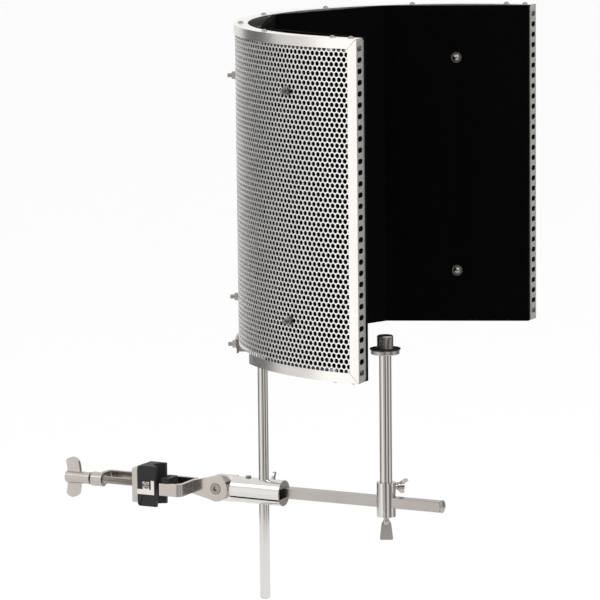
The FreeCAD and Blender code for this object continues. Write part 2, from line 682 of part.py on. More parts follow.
# ------------------------------------------------------------------ coupling and bar
def coupling():
    """Round block that joins the tilt joint, the rod and the bar."""
    body = rod((COUPLING_BACK, LINE_Y, 0), X_AXIS, COUPLING_RADIUS, COUPLING_LENGTH)
    half = COUPLING_RADIUS + CUT
    cutters = [
        rod((ROD_X, LINE_Y, -half), Z_AXIS, ROD_RADIUS + RUNNING, 2 * half),
        rod((COUPLING_BACK - CUT, LINE_Y, 0), X_AXIS, SPIGOT_RADIUS, SPIGOT_LENGTH + CUT),
        box((BAR_START, LINE_Y - POCKET_NEAR, -BAR_SIZE / 2),
            (COUPLING_FRONT + CUT, BAR_Y + BAR_SIZE / 2, BAR_SIZE / 2)),
        rod((ROD_X, LINE_Y, 0), Y_AXIS, LOCK_RADIUS + RUNNING, half),
        rod((BAR_START + POCKET_DEPTH / 2, BAR_Y, 0), Z_AXIS, GRUB_RADIUS, half),
        rod((COUPLING_BACK + SPIGOT_LENGTH / 2, LINE_Y, 0), Z_AXIS, GRUB_RADIUS, half),
    ]
    return body.cut(group(cutters))


def bar():
    half = BAR_SIZE / 2
    return box((BAR_START, BAR_Y - half, -half), (BAR_END, BAR_Y + half, half))


def grub_screw(x, y, low):
    """Short headless screw with a hexagon socket, driven down from the top."""
    screw = rod((x, y, low), Z_AXIS, GRUB_RADIUS, GRUB_LENGTH)
    floor = low + GRUB_LENGTH - GRUB_SOCKET
    return screw.cut(hexagon((x, y, floor), Z_AXIS, GRUB_FLATS, GRUB_SOCKET + CUT))


def bar_grub_screw():
    return grub_screw(BAR_START + POCKET_DEPTH / 2, BAR_Y, BAR_SIZE / 2)


def knuckle_screw():
    """Cap screw that locks the tilt knuckle in the coupling, standing proud at the top."""
    x = COUPLING_BACK + SPIGOT_LENGTH / 2
    length = COUPLING_RADIUS - SPIGOT_RADIUS + CAP_HEIGHT / 2
    shank = rod((x, LINE_Y, SPIGOT_RADIUS), Z_AXIS, GRUB_RADIUS, length)
    head = rod((x, LINE_Y, COUPLING_RADIUS), Z_AXIS, GRUB_RADIUS + CAP_OVERHANG, CAP_HEIGHT)
    socket = hexagon((x, LINE_Y, COUPLING_RADIUS + CAP_HEIGHT / 4), Z_AXIS, GRUB_FLATS, CAP_HEIGHT)
    return fused([shank, head]).cut(socket)


def bar_end_stop():
    """Domed cap that keeps the slider on the bar."""
    collar = rod((BAR_END, BAR_Y, 0), X_AXIS, STOP_RADIUS, STOP_COLLAR)
    dome_start = (BAR_END + STOP_COLLAR, BAR_Y, 0)
    return fused([collar, dome_head(dome_start, X_AXIS, STOP_RADIUS, STOP_HEIGHT - STOP_COLLAR)])


# ------------------------------------------------------------------ wing screws
def wing(axial, inner, outer, metal, lean):
    """One wing of a wing screw in the XZ plane; the axis of the screw is X."""
    start, end = axial
    middle = (start + end) / 2
    points = [Vector(start, 0, 0), Vector(start, 0, inner), Vector(start + lean, 0, outer),
              Vector(end + lean, 0, outer), Vector(end, 0, inner), Vector(end, 0, 0)]
    tip = Part.Arc(points[2], Vector(middle + lean, 0, outer + (end - start) * WING_CROWN), points[3])
    halfway = (inner + outer) / 2
    near = Part.Arc(points[3], Vector(end + lean * WING_BOW, 0, halfway), points[4])
    far = Part.Arc(points[1], Vector(start + lean * WING_BOW, 0, halfway), points[2])
    edges = [Part.LineSegment(points[0], points[1]), far, tip, near,
             Part.LineSegment(points[4], points[5]), Part.LineSegment(points[5], points[0])]
    face = Part.Face(Part.Wire([edge.toShape() for edge in edges]))
    face.translate(Vector(0, -metal / 2, 0))
    return face.extrude(Vector(0, metal, 0))


def wing_screw(tip, direction, turn, sizes):
    """Screw with two wings: its tip at a point, its axis along a direction, wings turned about it."""
    shaft = rod((0, 0, 0), X_AXIS, sizes["shaft"], sizes["reach"])
    barrel = rod((sizes["reach"], 0, 0), X_AXIS, sizes["barrel"], sizes["barrel_length"])
    start = sizes["reach"] + sizes["wing_start"]
    leaf = wing((start, start + sizes["wing_length"]), sizes["barrel"] * WING_ROOT, sizes["wing_reach"],
                sizes["metal"], sizes["lean"])
    other = leaf.copy()
    other.rotate(Vector(), X_AXIS, 180)
    screw = fused([shaft, barrel, leaf, other])
    screw.rotate(Vector(), X_AXIS, turn)
    place = FreeCAD.Placement(Vector(*tip), FreeCAD.Rotation(X_AXIS, direction))
    screw.Placement = place.multiply(screw.Placement)
    return screw


def rod_lock_screw():
    """Wing screw from the far side that grips the rod."""
    return wing_screw((ROD_X, LINE_Y + ROD_RADIUS + APART, 0), Y_AXIS, 0, ROD_WING)


def post_lock_screw():
    """Wing screw in the slider's side that grips the microphone post."""
    tip = Vector(SLIDER_X, BAR_Y, SLIDER_TOP - POST_LOCK_DROP) + LOCK_DIRECTION * (POST_RADIUS + APART)
    return wing_screw(tip, LOCK_DIRECTION, POST_LOCK_TURN, SIDE_WING)


def bar_lock_screw():
    """Thumb screw with a flat paddle, under the slider, that grips the bar."""
    tip = -BAR_SIZE / 2 - APART
    shoulder = tip - PADDLE_REACH
    shaft = rod((0, 0, shoulder), Z_AXIS, LOCK_RADIUS, tip - shoulder)
    neck = rod((0, 0, shoulder - PADDLE_NECK), Z_AXIS, PADDLE_NECK_RADIUS, PADDLE_NECK)
    high, low = shoulder - PADDLE_NECK / 2, shoulder - PADDLE_LENGTH
    half_top, half_end = PADDLE_TOP_WIDTH / 2, PADDLE_END_WIDTH / 2
    outline = [(-half_top, high), (half_top, high), (half_end, low), (-half_end, low)]
    paddle = plate(outline, "y", -PADDLE_METAL / 2, PADDLE_METAL / 2)
    paddle = rounded(paddle, PADDLE_ROUND, along_y)
    screw = fused([shaft, neck, paddle])
    screw.rotate(Vector(), Z_AXIS, -BAR_LOCK_TURN)
    screw.translate(Vector(SLIDER_X, BAR_Y, 0))
    return screw


# ------------------------------------------------------------------ slider and microphone post
def slider():
    body = rod((SLIDER_X, BAR_Y, SLIDER_BOTTOM), Z_AXIS, SLIDER_RADIUS, SLIDER_TOP - SLIDER_BOTTOM)
    half = BAR_SIZE / 2 + SLIDING
    across = SLIDER_RADIUS + CUT
    lock_start = (SLIDER_X, BAR_Y, SLIDER_TOP - POST_LOCK_DROP)
    cutters = [
        box((SLIDER_X - across, BAR_Y - half, -half), (SLIDER_X + across, BAR_Y + half, half)),
        rod((SLIDER_X, BAR_Y, SLIDER_TOP - SOCKET_DEPTH), Z_AXIS, POST_RADIUS + RUNNING, SOCKET_DEPTH + CUT),
        rod((SLIDER_X, BAR_Y, SLIDER_BOTTOM - CUT), Z_AXIS, LOCK_RADIUS + RUNNING, CUT - SLIDER_BOTTOM),
        rod(lock_start, LOCK_DIRECTION, LOCK_RADIUS + RUNNING, across),
    ]
    return body.cut(group(cutters))


def mic_post():
    low = SLIDER_TOP - SOCKET_DEPTH + APART
    return rod((SLIDER_X, BAR_Y, low), Z_AXIS, POST_RADIUS, FLANGE_Z - low)


def mic_flange():
    disc = rod((SLIDER_X, BAR_Y, FLANGE_Z), Z_AXIS, FLANGE_RADIUS, FLANGE_HEIGHT)
    edges = [edge for edge in disc.Edges if edge.Curve.TypeId == "Part::GeomCircle"]
    return disc.makeChamfer(FLANGE_CHAMFER, edges)


def flange_pad():
    low = FLANGE_Z + FLANGE_HEIGHT
    return ring((SLIDER_X, BAR_Y, low), Z_AXIS, PAD_RADIUS, THREAD_RADIUS + RUNNING, PAD_HEIGHT)


def mic_thread():
    """Hollow stud for the microphone holder, plain where the real one is threaded."""
    low = FLANGE_Z + FLANGE_HEIGHT
    relief_top = low + PAD_HEIGHT + RELIEF_ABOVE_PAD
    high = low + PAD_HEIGHT + THREAD_LENGTH
    thread = rod((SLIDER_X, BAR_Y, relief_top), Z_AXIS, THREAD_RADIUS, high - relief_top)
    neck = rod((SLIDER_X, BAR_Y, low), Z_AXIS, RELIEF_RADIUS, relief_top - low)
    stud = fused([rounded_end(thread, high, THREAD_CHAMFER), neck])
    return stud.cut(rod((SLIDER_X, BAR_Y, low + THREAD_FLOOR), Z_AXIS, THREAD_BORE, high - low))


# ------------------------------------------------------------------ tilt joint
def knuckle():
    """Tongue that turns on the hinge bolt, with a round root and a spigot in the coupling."""
    root_x = COUPLING_BACK - KNUCKLE_ROOT + CUT
    outline = [(HINGE_X, -LUG_RADIUS), (root_x, -LUG_RADIUS), (root_x, LUG_RADIUS), (HINGE_X, LUG_RADIUS)]
    tongue = plate(outline, "y", TONGUE_NEAR, TONGUE_FAR)
    eye = rod((HINGE_X, TONGUE_NEAR, 0), Y_AXIS, LUG_RADIUS, TONGUE_METAL)
    root = rod((COUPLING_BACK - KNUCKLE_ROOT, LINE_Y, 0), X_AXIS, COUPLING_RADIUS, KNUCKLE_ROOT)
    spigot = rod((COUPLING_BACK - CUT, LINE_Y, 0), X_AXIS, SPIGOT_RADIUS, SPIGOT_LENGTH + CUT)
    bore = rod((HINGE_X, TONGUE_NEAR - CUT, 0), Y_AXIS, HINGE_BOLT_RADIUS + RUNNING, TONGUE_METAL + 2 * CUT)
    return fused([tongue, eye, root, spigot]).cut(bore)


def hinge_bolt():
    length = HINGE_NUT_Y + HINGE_NUT_HEIGHT + HINGE_BOLT_TIP - LUG_NEAR
    head = rod((HINGE_X, LUG_NEAR, 0), Y_AXIS, HINGE_HEAD_RADIUS, HINGE_HEAD_HEIGHT)
    shank = rod((HINGE_X, LUG_NEAR, 0), Y_AXIS, HINGE_BOLT_RADIUS, length)
    socket = hexagon((HINGE_X, LUG_NEAR - CUT, 0), Y_AXIS, HEX_FLATS, HEX_DEPTH + CUT)
    return fused([head, shank]).cut(socket)


def hinge_washer():
    start = (HINGE_X, TONGUE_FAR + APART, 0)
    return ring(start, Y_AXIS, HINGE_WASHER_RADIUS, HINGE_BOLT_RADIUS, HINGE_WASHER_HEIGHT)


def hinge_nut():
    nut = hexagon((HINGE_X, HINGE_NUT_Y, 0), Y_AXIS, HINGE_NUT_FLATS, HINGE_NUT_HEIGHT)
    bore_start = (HINGE_X, HINGE_NUT_Y - CUT, 0)
    return nut.cut(rod(bore_start, Y_AXIS, HINGE_BOLT_RADIUS, HINGE_NUT_HEIGHT + 2 * CUT))


# ------------------------------------------------------------------ clamp
def clamp_frame():
    """Bent strap round the stand tube, with the screw's boss at the back and the hinge lug in front."""
    half = STRAP_HEIGHT / 2
    outer = box((FRAME_BACK, -FRAME_HALF_WIDTH, -half), (FRAME_FRONT, FRAME_HALF_WIDTH, half))
    inner = box((FRAME_BACK + STRAP_METAL, -FRAME_INNER_WIDTH, -half - CUT),
                (FRAME_INNER_FRONT, FRAME_INNER_WIDTH, half + CUT))
    strap = rounded(outer, STRAP_BEND, along_z).cut(rounded(inner, STRAP_BEND - STRAP_METAL, along_z))
    strap = strap.cut(box((FRAME_BACK - CUT, -FRAME_HALF_WIDTH - CUT, -half - CUT),
                          (HOOK_TIP, -BOSS_RADIUS / 2, half + CUT)))
    boss = rod((BOSS_BACK, 0, 0), X_AXIS, BOSS_RADIUS, BOSS_LENGTH)
    root_x = FRAME_FRONT - STRAP_METAL / 2
    arm = plate([(root_x, -half), (HINGE_X, -LUG_RADIUS), (HINGE_X, LUG_RADIUS), (root_x, half)],
                "y", LUG_NEAR, LUG_NEAR + LUG_METAL)
    eye = rod((HINGE_X, LUG_NEAR, 0), Y_AXIS, LUG_RADIUS, LUG_METAL)
    frame = fused([strap, boss, arm, eye])
    recess = HINGE_HEAD_RADIUS + HINGE_RECESS_GAP
    cutters = [
        rod((BOSS_BACK - CUT, 0, 0), X_AXIS, SCREW_RADIUS + RUNNING, BOSS_LENGTH + 2 * CUT),
        rod((HINGE_X, LUG_NEAR - CUT, 0), Y_AXIS, recess, HINGE_HEAD_HEIGHT + CUT),
        rod((HINGE_X, LUG_NEAR, 0), Y_AXIS, HINGE_BOLT_RADIUS, LUG_METAL + CUT),
    ]
    return frame.cut(group(cutters))


def anvil_stud():
    """Stud on the inside of the strap that backs the fixed cup."""
    start = ANVIL_BACK - ANVIL_SOCKET
    return rod((start, 0, 0), X_AXIS, ANVIL_STUD_RADIUS, FRAME_INNER_FRONT - start)


def anvil_pad():
    """Fixed cup that the tube is pressed into."""
    width, half = ANVIL_HALF_WIDTH, ANVIL_HALF_HEIGHT
    block = box((ANVIL_FRONT, -width, -half), (ANVIL_BACK, width, half))
    block = rounded(block, PAD_CORNER, lambda edge: along_z(edge) and edge.CenterOfMass.x > ANVIL_BACK - CUT)
    tube = rod((0, 0, -half - CUT), Z_AXIS, TUBE_RADIUS, 2 * (half + CUT))
    socket = rod((ANVIL_BACK - ANVIL_SOCKET, 0, 0), X_AXIS, ANVIL_STUD_RADIUS, ANVIL_SOCKET + CUT)
    return block.cut(group([tube, socket]))


def jaw_plate():
    """Moving plate, guided by the strap behind it."""
    half = PLATE_HALF_HEIGHT
    body = box((PLATE_BACK, -PLATE_NEAR, -half), (PLATE_FRONT, FRAME_INNER_WIDTH - APART, half))
    body = rounded(body, PAD_CORNER, along_x)
    bore = rod((PLATE_BACK - CUT, 0, 0), X_AXIS, JOURNAL_RADIUS + RUNNING, PLATE_METAL + 2 * CUT)
    recess = rod((PLATE_FRONT - RECESS_DEPTH, 0, 0), X_AXIS, RECESS_RADIUS, RECESS_DEPTH + CUT)
    return body.cut(group([bore, recess]))


def jaw_pad():
    """Rubber block with a half-round groove for the tube."""
    half = PAD_HALF_HEIGHT
    block = box((PLATE_FRONT, -PAD_HALF_WIDTH, -half), (PAD_FRONT, PAD_HALF_WIDTH, half))
    block = rounded(block, PAD_ARCH, lambda edge: along_y(edge) and edge.CenterOfMass.x < PLATE_FRONT + CUT)
    start = (PAD_SCREW_X, -PAD_HALF_WIDTH - CUT, PAD_SCREW_Z)
    screw_hole = rod(start, Y_AXIS, PAD_SCREW_RADIUS, PAD_SCREW_LENGTH - CLIP_METAL + CUT)
    tube = rod((0, 0, -half - CUT), Z_AXIS, TUBE_RADIUS, 2 * (half + CUT))
    return block.cut(group([tube, screw_hole]))


def pad_clip():
    """Bright clip on the pad's near face."""
    face = -PAD_HALF_WIDTH
    low = face - CLIP_METAL
    front = PAD_FRONT - CLIP_INSET
    foot = box((PLATE_FRONT + APART, low, CLIP_BOTTOM), (front, face, CLIP_FOOT_TOP))
    post = box((front - CLIP_POST_WIDTH, low, CLIP_BOTTOM), (front, face, CLIP_POST_TOP))
    ear = box((PAD_SCREW_X - CLIP_EAR, low, CLIP_EAR_BOTTOM),
              (PAD_SCREW_X + CLIP_EAR, face, PAD_SCREW_Z + CLIP_EAR))
    hole = rod((PAD_SCREW_X, low - CUT, PAD_SCREW_Z), Y_AXIS, PAD_SCREW_RADIUS, CLIP_METAL + 2 * CUT)
    return fused([foot, post, ear]).cut(hole)


def pad_screw():
    low = -PAD_HALF_WIDTH - CLIP_METAL
    start = (PAD_SCREW_X, low, PAD_SCREW_Z)
    head = dome_head(start, -Y_AXIS, PAD_SCREW_HEAD_RADIUS, PAD_SCREW_HEAD)
    return fused([head, rod(start, Y_AXIS, PAD_SCREW_RADIUS, PAD_SCREW_LENGTH)])


def clamp_screw():
    """Screw that pushes the jaw; plain where the real one is threaded."""
    back = KNOB_FRONT - KNOB_SOCKET
    thread = rod((back, 0, 0), X_AXIS, SCREW_RADIUS, PLATE_BACK - APART - back)
    start = PLATE_BACK - CUT
    journal = rod((start, 0, 0), X_AXIS, JOURNAL_RADIUS, PLATE_FRONT - JOURNAL_BACK - start)
    floor = JOURNAL_RADIUS - GROOVE_DEPTH
    groove = ring((CIRCLIP_X, 0, 0), X_AXIS, JOURNAL_RADIUS + CUT, floor, CIRCLIP_METAL)
    return fused([thread, journal]).cut(groove)


def screw_circlip():
    """Ring that keeps the screw's end in the moving plate."""
    return ring((CIRCLIP_X, 0, 0), X_AXIS, CIRCLIP_RADIUS, JOURNAL_RADIUS - GROOVE_DEPTH, CIRCLIP_METAL)


def wing_knob():
    """Cast wing knob on the back end of the clamp screw."""
    back = KNOB_FRONT - KNOB_LENGTH
    barrel = rod((back, 0, 0), X_AXIS, KNOB_BARREL_RADIUS, KNOB_LENGTH)
    wing_front = back + KNOB_WING_FRONT
    leaf = wing((wing_front - KNOB_WING_LENGTH, wing_front), KNOB_BARREL_RADIUS * WING_ROOT,
                KNOB_WING_REACH, KNOB_WING_METAL, KNOB_WING_LEAN)
    other = leaf.copy()
    other.rotate(Vector(), X_AXIS, 180)
    bore = rod((KNOB_FRONT - KNOB_SOCKET, 0, 0), X_AXIS, SCREW_RADIUS, KNOB_SOCKET + CUT)
    return fused([barrel, leaf, other]).cut(bore)


# ------------------------------------------------------------------ all the pieces
def pieces():
    """Every node's name and solid, in place."""
    shell = {
        "outer_sheet": outer_sheet(),
        "outer_wool": outer_wool(),
        "foil_layer": foil_layer(),
        "inner_sheet": inner_sheet(),
        "facet_board": facet_board(),
        "top_rim": top_rim(),
        "bottom_rim_near": bottom_rim(-1),
        "bottom_rim_far": bottom_rim(1),
        "end_strip_near": end_strip(-1),
        "end_strip_far": end_strip(1),
        "edge_blocks": edge_blocks(),
        "rim_screws_top": rim_screws_top(),
        "rim_screws_bottom": rim_screws_bottom(),
        "spacer_bolts": each_bolt(spacer_bolt),
        "spacer_nuts": each_bolt(spacer_nut),
        "outer_washers": each_bolt(outer_washer),
        "panel_washers": each_bolt(panel_washer),
        "spacer_tubes": each_bolt(spacer_tube),
        "rear_bracket": rear_bracket(),
        "rod_set_screw": rod_set_screw(),
        "bracket_bolts": group([bracket_bolt(side) for side in (-1, 1)]),
        "bracket_nuts": group([bracket_nut(side) for side in (-1, 1)]),
    }
    for index, name in enumerate(("near_wing", "near_back", "far_back", "far_wing")):
        shell["wool_panel_" + name] = wool_panel(index)
    placed = {name: on_shell(shape) for name, shape in shell.items()}
    placed.update({
        "filter_rod": filter_rod(),
        "coupling": coupling(),
        "bar": bar(),
        "bar_grub_screw": bar_grub_screw(),
        "knuckle_screw": knuckle_screw(),
        "bar_end_stop": bar_end_stop(),
        "rod_lock_screw": rod_lock_screw(),
        "slider": slider(),
        "post_lock_screw": post_lock_screw(),
        "bar_lock_screw": bar_lock_screw(),
        "mic_post": mic_post(),
        "mic_flange": mic_flange(),
        "flange_pad": flange_pad(),
        "mic_thread": mic_thread(),
        "knuckle": knuckle(),
        "hinge_bolt": hinge_bolt(),
        "hinge_washer": hinge_washer(),
        "hinge_nut": hinge_nut(),
        "clamp_frame": clamp_frame(),
        "anvil_stud": anvil_stud(),
        "anvil_pad": anvil_pad(),
        "jaw_plate": jaw_plate(),
        "jaw_pad": jaw_pad(),
        "pad_clip": pad_clip(),
        "pad_screw": pad_screw(),
        "clamp_screw": clamp_screw(),
        "screw_circlip": screw_circlip(),
        "wing_knob": wing_knob(),
    })
    return placed


os.makedirs("parts", exist_ok=True)
for name, shape in pieces().items():
    shape.exportStep("parts/" + name + ".step")
    state = "valid" if shape.isValid() else "NOT VALID"
    print(name, len(shape.Solids), "solids", round(shape.Volume), "mm3", state)
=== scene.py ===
"""Looks of the curved reflection filter on its stand clamp. Metres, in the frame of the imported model."""
import bpy
import bmesh
import json
import math
from mathutils import Matrix, Vector


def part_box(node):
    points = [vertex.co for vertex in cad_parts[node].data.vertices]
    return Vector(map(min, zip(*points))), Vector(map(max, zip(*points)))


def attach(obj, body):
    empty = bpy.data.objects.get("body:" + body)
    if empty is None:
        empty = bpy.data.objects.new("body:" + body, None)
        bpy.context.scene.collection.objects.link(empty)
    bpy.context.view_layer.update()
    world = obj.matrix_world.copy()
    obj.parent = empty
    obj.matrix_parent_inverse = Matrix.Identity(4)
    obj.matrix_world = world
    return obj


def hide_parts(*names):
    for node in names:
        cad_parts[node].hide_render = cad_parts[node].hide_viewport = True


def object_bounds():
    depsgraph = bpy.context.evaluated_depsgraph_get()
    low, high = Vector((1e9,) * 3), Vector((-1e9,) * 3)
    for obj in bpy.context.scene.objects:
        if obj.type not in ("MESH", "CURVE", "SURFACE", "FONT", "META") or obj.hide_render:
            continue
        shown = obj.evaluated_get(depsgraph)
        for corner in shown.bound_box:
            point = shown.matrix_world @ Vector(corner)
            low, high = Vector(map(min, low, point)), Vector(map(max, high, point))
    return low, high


MM = 0.001
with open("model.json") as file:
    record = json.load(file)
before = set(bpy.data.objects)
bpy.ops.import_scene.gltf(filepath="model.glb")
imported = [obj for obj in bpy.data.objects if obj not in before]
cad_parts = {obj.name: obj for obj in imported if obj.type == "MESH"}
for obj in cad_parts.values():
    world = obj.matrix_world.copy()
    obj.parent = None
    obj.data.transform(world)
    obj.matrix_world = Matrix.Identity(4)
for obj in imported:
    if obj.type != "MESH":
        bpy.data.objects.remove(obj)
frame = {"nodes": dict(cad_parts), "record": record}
nodes = frame["nodes"]
body_of_node = {n: b for b, members in frame["record"]["behaviour"]["bodies"].items() for n in members}
cad_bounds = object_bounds()

# --- sizes that the looks add ---
HOLE_PITCH = 5.2 * MM          # perforated sheet, along a row
HOLE_RADIUS = 2.22 * MM
ROW_PITCH = HOLE_PITCH * math.sqrt(3) / 2
SHEET_SECTORS = 4
SHEET_WALL = 1.0 * MM
REAR_EDGE = 9.0 * MM           # free edge of the sheet above the rear bracket
REAR_GAP_DEGREES = 46.0        # half of the span without a bottom rim
BEVEL = 0.35 * MM
BEVEL_ANGLE = 32.0              # degrees between faces from which an edge is broken
WOOL_EDGE = 1.3 * MM
WOOL_ANGLE = 30.0
RELIEF_DEPTH = 0.02 * MM       # fine relief of metal
THREAD_TURN_SIDES = 40
STUD_PITCH = 25.4 / 27 * MM    # 5/8 inch microphone thread
SCREW_PITCH = 1.25 * MM        # clamp screw, as its thread shows; its joint moves 2 mm a turn
SCREW_JOURNAL = 0.8            # plain end of the screw, as a share of its radius
JOURNAL_GAP = 0.3 * MM         # the thread stops this far short of the jaw plate
JOURNAL_STEP = 2.0 * MM        # length over which the journal takes eight rings
STUD_CHAMFER = 1.1 * MM
SCREW_CHAMFER = 0.6 * MM

# nodes whose edges are broken
SOFTENED = ("coupling", "bar", "bar_end_stop", "slider", "mic_flange", "knuckle", "hinge_bolt", "hinge_nut",
            "clamp_frame", "jaw_plate", "wing_knob", "rod_lock_screw", "post_lock_screw", "bar_lock_screw",
            "filter_rod", "mic_post", "knuckle_screw", "jaw_pad", "anvil_pad", "rear_bracket", "spacer_nuts",
            "bracket_nuts")

# --- light ---
FLOOR_DROP = 0.35         # the floor lies this far below the part, so that it clears every pose
FLOOR_SIZE = 60
CARD_LIFT = 0.001
SKY_STRENGTH = 1.04
STRIP_NEAR = 0.02         # the dark card starts this far in front of the arm
STRIP_DEPTH = 0.13
STRIP_WIDTH = 0.9
TENT_RADIUS = 2.0
TENT_TOP = 0.75
# brightness round the tent, in degrees from the view, positive to the right
TENT_BANDS = ((-180, 0.85), (-147, 0.85), (-137, 0.12), (-112, 0.12), (-100, 0.70), (-75, 0.70), (-68, 1.15),
              (-42, 1.15), (-36, 0.50), (-9, 0.55), (-6, 0.03), (6, 0.03), (9, 0.75), (31, 0.75), (37, 0.20),
              (58, 0.20), (64, 0.85), (86, 0.85), (94, 0.28), (128, 0.28), (138, 0.80), (180, 0.80))

# --- view ---
VIEW_YAW = 2.03592
VIEW_PITCH = 0.15614
VIEW_ROLL = -0.01029
VIEW_DISTANCE = 3.70706
VIEW_LENS = 239.35
SENSOR = 36.0
AIM_RIGHT = 0.1394             # the view's middle lies this far left of and below the shell's
AIM_UP = 0.1059


# ------------------------------------------------------------------ shader helpers
class Value:
    """A socket that takes part in arithmetic: each operation adds one Math node."""

    def __init__(self, paint, socket):
        self.paint = paint
        self.socket = socket

    def math(self, operation, other):
        return self.paint.node("ShaderNodeMath", {"operation": operation}, [self, other])

    def __add__(self, other):
        return self.math("ADD", other)

    def __mul__(self, other):
        return self.math("MULTIPLY", other)


class Paint:
    """One material: its nodes come from one method, and its constants sit on the shader's own sockets."""

    def __init__(self, name, **constants):
        self.material = bpy.data.materials.new(name)
        self.material.use_nodes = True
        self.tree = self.material.node_tree
        self.shader = self.tree.nodes["Principled BSDF"]
        self.set(**constants)

    def node(self, kind, settings, inputs, output=0):
        made = self.tree.nodes.new(kind)
        for name, value in settings.items():
            if name == "stops":
                self.ramp(made, value)
            else:
                setattr(made, name, value)
        items = inputs.items() if isinstance(inputs, dict) else enumerate(inputs)
        for key, value in items:
            self.feed(made.inputs[key], value)
        return Value(self, made.outputs[output])

    def ramp(self, made, stops):
        elements = made.color_ramp.elements
        while len(elements) < len(stops):
            elements.new(0.5)
        for element, (place, colour) in zip(elements, stops):
            element.position = place
            element.color = colour

    def feed(self, socket, value):
        if isinstance(value, Value):
            self.tree.links.new(value.socket, socket)
        else:
            socket.default_value = value

    def set(self, **sockets):
        for name, value in sockets.items():
            self.feed(self.shader.inputs[name.replace("_", " ")], value)

    def place(self, scale=(1, 1, 1)):
        """Object coordinates, stretched."""
        where = self.node("ShaderNodeTexCoord", {}, [], "Object")
        return self.node("ShaderNodeMapping", {}, {"Vector": where, "Scale": scale})

    def noise(self, vector, scale, detail=3.0, roughness=0.55):
        return self.node("ShaderNodeTexNoise", {}, {"Vector": vector, "Scale": scale, "Detail": detail,
                                                    "Roughness": roughness}, "Fac")

    def mix(self, factor, first, second):
        return self.node("ShaderNodeMix", {"data_type": "RGBA"}, {0: factor, 6: first, 7: second}, 2)

    def bump(self, height, strength, distance):
        return self.node("ShaderNodeBump", {}, {"Strength": strength, "Distance": distance, "Height": height})


def grey(level, warmth=0.0):
    """Neutral colour, or one a little warmer."""
    return (level * (1 + warmth), level, level * (1 - warmth), 1.0)


def metal(name, light, dark, warmth, roughness, spread, grain, stretch, relief):
    """Metal with a faint uneven tone, grain that may run one way, and fine relief."""
    paint = Paint(name, Metallic=1.0)
    tone = paint.noise(paint.place(), 35.0)
    lines = paint.noise(paint.place(stretch), grain, 4.0)
    paint.set(Base_Color=paint.mix(tone, grey(dark, warmth), grey(light, warmth)),
              Roughness=lines * spread + (roughness - spread / 2),
              Normal=paint.bump(lines, relief, RELIEF_DEPTH))
    return paint.material


def perforated_metal():
    """Bright sheet metal, a little duller than the rims."""
    paint = Paint("bright_sheet", Metallic=0.85)
    tone = paint.noise(paint.place(), 28.0)
    grain = paint.noise(paint.place((1, 1, 0.2)), 900.0)
    paint.set(Base_Color=paint.mix(tone, grey(0.90, 0.01), grey(0.98, 0.01)),
              Roughness=grain * 0.12 + 0.34, Normal=paint.bump(grain, 0.15, RELIEF_DEPTH))
    return paint.material


def felt():
    """Black wool felt: matted fibres and a slightly uneven tone."""
    paint = Paint("black_felt", Specular_IOR_Level=0.02)
    fibres = paint.noise(paint.place((1, 1, 0.55)), 1500.0, 6.0, 0.75)
    mats = paint.noise(paint.place(), 130.0, 5.0, 0.6)
    height = fibres * 0.6 + mats * 0.6
    paint.set(Base_Color=paint.mix(height, grey(0.0002), grey(0.0022)),
              Roughness=fibres * 0.1 + 0.88, Normal=paint.bump(height, 0.6, 0.4 * MM))
    return paint.material


def rubber():
    """Moulded black rubber with fine pores."""
    paint = Paint("moulded_rubber", Specular_IOR_Level=0.35)
    pores = paint.noise(paint.place(), 900.0, 4.0)
    paint.set(Base_Color=paint.mix(pores, grey(0.006), grey(0.02)), Roughness=pores * 0.2 + 0.42,
              Normal=paint.bump(pores, 0.3, 0.1 * MM))
    return paint.material


def make_materials():
    """One material for each of the record's slots."""
    even = (1, 1, 1)
    return {
        "perforated_sheet": perforated_metal(),
        "rim_metal": metal("satin_rim", 0.92, 0.84, 0.02, 0.24, 0.08, 700.0, (1, 1, 0.4), 0.08),
        "inner_metal": metal("plain_sheet", 0.45, 0.38, 0.0, 0.45, 0.10, 500.0, even, 0.2),
        "foil": metal("foil", 0.85, 0.75, 0.0, 0.22, 0.10, 300.0, even, 0.5),
        "black_wool": felt(),
        "zinc_screws": metal("zinc_plate", 0.36, 0.24, 0.07, 0.22, 0.10, 900.0, even, 0.1),
        "polished_chrome": metal("chrome_plate", 0.68, 0.62, 0.03, 0.08, 0.04, 400.0, even, 0.03),
        "satin_bar": metal("satin_nickel", 0.46, 0.36, 0.05, 0.26, 0.10, 1400.0, (0.03, 1, 1), 0.15),
        "cast_nickel": metal("cast_nickel", 0.50, 0.40, 0.06, 0.15, 0.06, 350.0, even, 0.06),
        "screw_steel": metal("screw_steel", 0.42, 0.32, 0.07, 0.28, 0.12, 800.0, even, 0.2),
        "black_rubber": rubber(),
        "dark_stud": metal("gunmetal", 0.40, 0.28, 0.04, 0.28, 0.10, 700.0, even, 0.15),
    }


# ------------------------------------------------------------------ mesh helpers
def new_object(name, mesh):
    made = bpy.data.objects.new(name, mesh)
    bpy.context.scene.collection.objects.link(made)
    return made


def mesh_from(work, name):
    mesh = bpy.data.meshes.new(name)
    work.to_mesh(mesh)
    work.free()
    return mesh


def evaluated_mesh(piece):
    """The piece's mesh with its modifiers applied, and the modifiers removed."""
    bpy.context.view_layer.update()
    graph = bpy.context.evaluated_depsgraph_get()
    mesh = bpy.data.meshes.new_from_object(piece.evaluated_get(graph))
    piece.modifiers.clear()
    piece.data = mesh
    return piece


def settle(piece, slot_name, *replaced):
    """Give a finished piece its material and its body, and hide the CAD node that it stands for."""
    piece.data.materials.clear()
    piece.data.materials.append(materials[slot_name])
    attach(piece, body_of_node[replaced[0]])
    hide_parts(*replaced)
    return piece


def smooth_by_angle(mesh, degrees):
    mesh.shade_smooth()
    mesh.set_sharp_from_angle(angle=math.radians(degrees))


